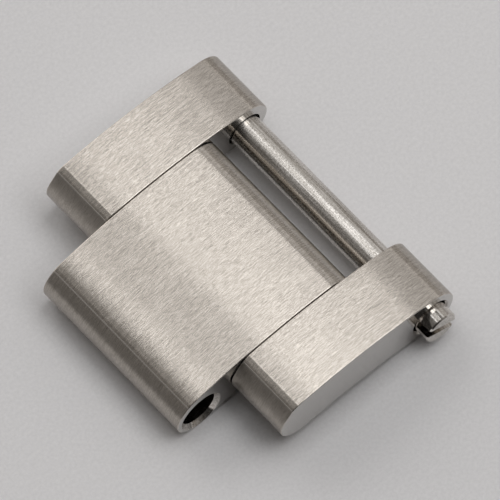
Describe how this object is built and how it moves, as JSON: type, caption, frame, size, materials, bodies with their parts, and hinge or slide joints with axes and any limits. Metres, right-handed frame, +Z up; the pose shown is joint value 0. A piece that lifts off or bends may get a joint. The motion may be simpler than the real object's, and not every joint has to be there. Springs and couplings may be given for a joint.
{
  "type": "watch bracelet link",
  "caption": "Steel bracelet link for a wristwatch: two outer bars, a pivoting centre bar with a free pin bore, and a slotted screw pin partly backed out.",
  "frame": {"origin": "middle of the centre bar's free bore, on its axis", "axes": "+Z up through the tops of the bars, +X along the bracelet towards the screw pin, +Y across it along the pins, away from the screw's head"},
  "size_m": [0.0136, 0.0168, 0.0033],
  "materials": {
    "steel_links": "brushed",
    "steel_pins": "turned"
  },
  "bodies": {
    "outer_bars": {"outer_link_far": "steel_links", "outer_link_near": "steel_links", "fixed_pin": "steel_pins"},
    "centre_bar": {"centre_link": "steel_links"},
    "screw": {"screw_pin": "steel_pins"}
  },
  "joints": [
    {"name": "centre_pivot", "type": "hinge", "parent": "outer_bars", "child": "centre_bar", "pos_m": [0.00539, 0, 0.00064], "axis": [0, 1, 0], "range_deg": [-142, 164]},
    {"name": "screw_out", "type": "slide", "parent": "outer_bars", "child": "screw", "axis": [0, -1, 0], "range_m": [-0.00075, 0.0142]}
  ]
}
